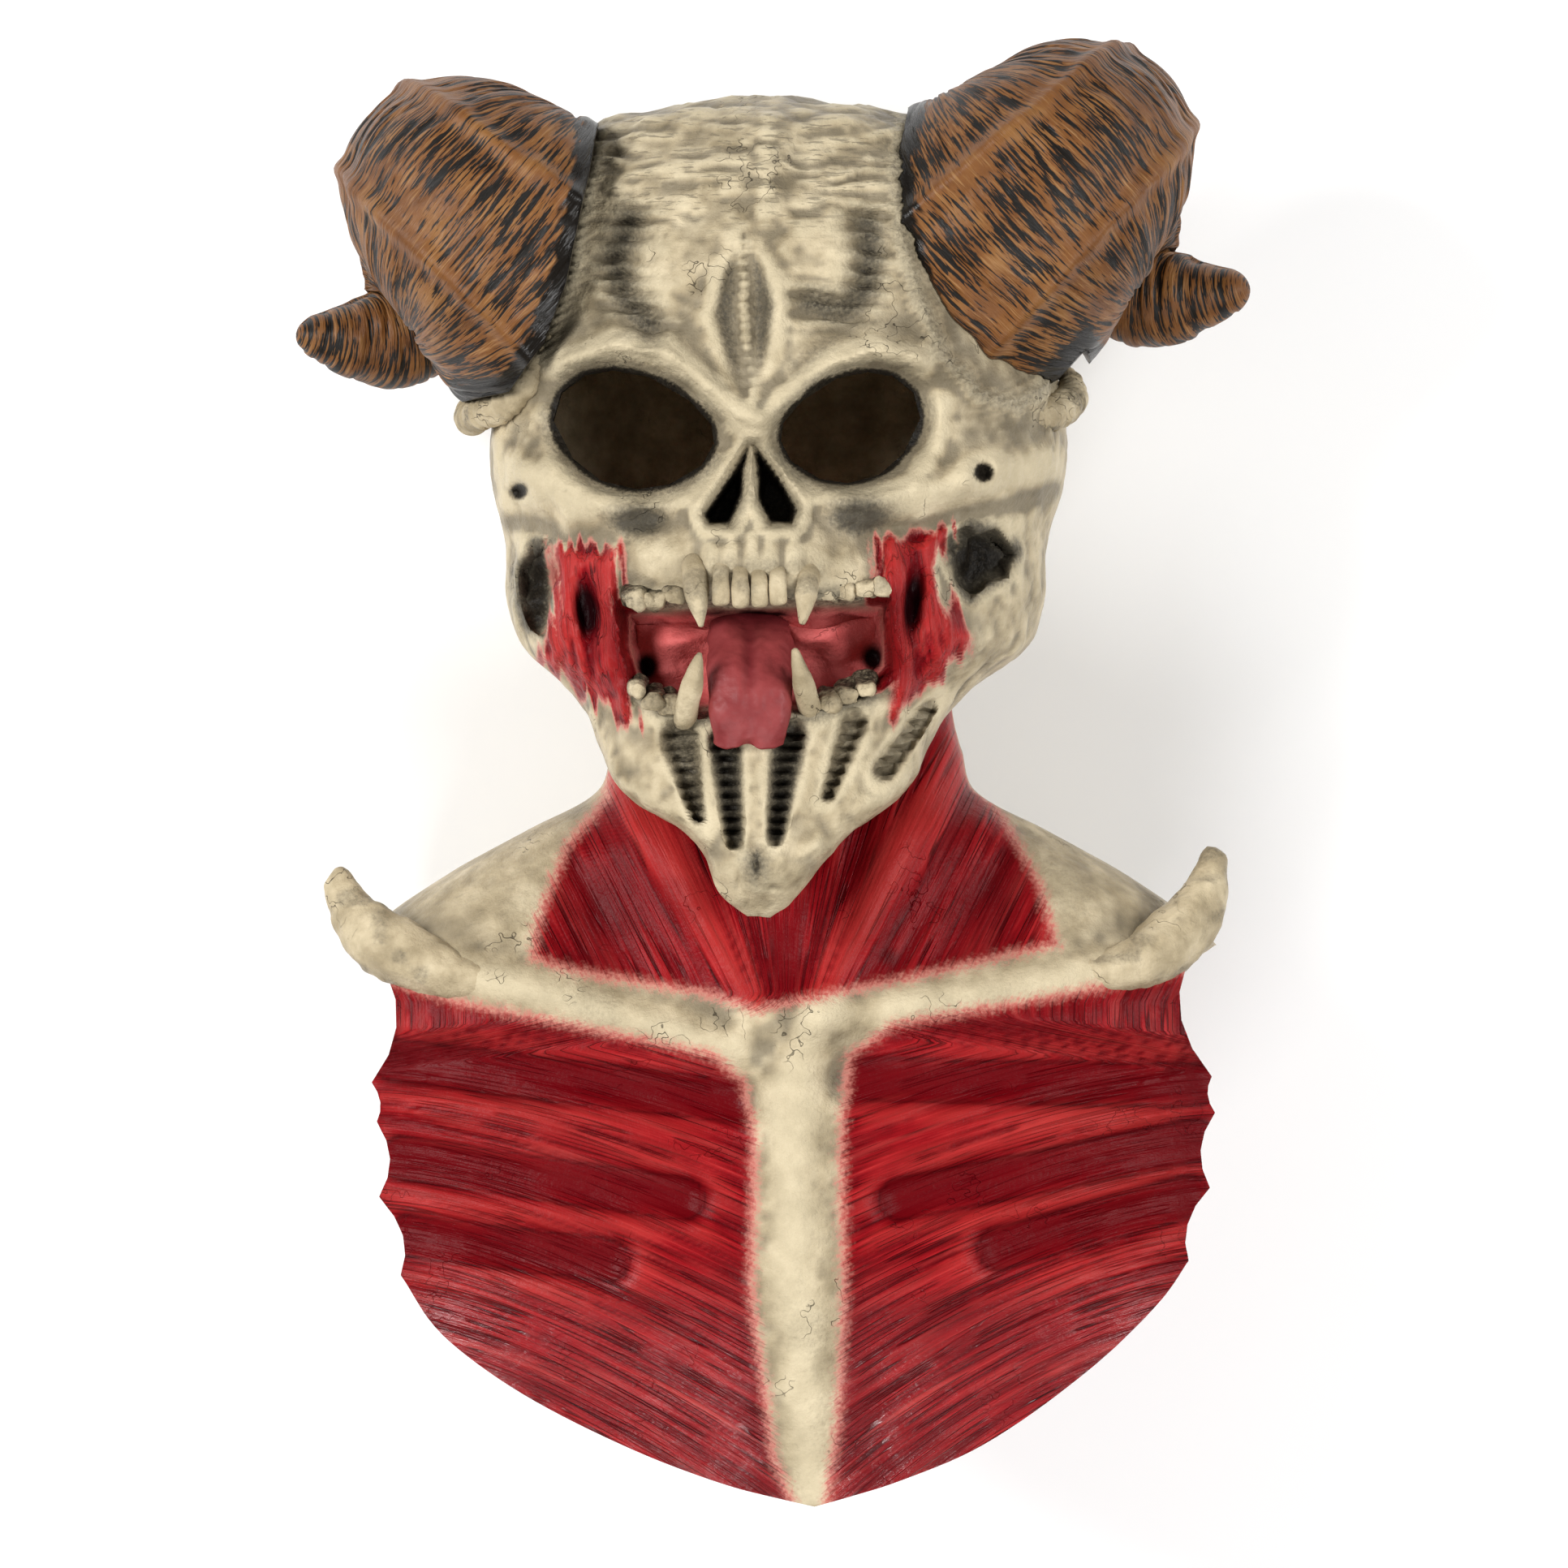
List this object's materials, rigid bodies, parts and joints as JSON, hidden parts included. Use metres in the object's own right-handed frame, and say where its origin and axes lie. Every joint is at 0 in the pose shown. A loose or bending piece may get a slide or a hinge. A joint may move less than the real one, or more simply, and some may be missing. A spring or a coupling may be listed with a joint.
{
  "type": "devil skull full mask",
  "caption": "Over-the-head horned devil skull mask with fanged mouth, hanging tongue, red neck and pointed chest bib, lying on its back.",
  "frame": {"origin": "middle of the flat spot at the back of the skull, on which the mask lies", "axes": "+Z out of the face, +Y from the chin to the crown, +X to the picture's right"},
  "size_m": [0.3527, 0.5301, 0.2288],
  "materials": {
    "painted_skin": "satin paint",
    "painted_horn": "satin paint"
  },
  "bodies": {
    "root": {"mask_skin": "painted_skin", "horn_left": "painted_horn", "horn_right": "painted_horn"}
  },
  "joints": []
}
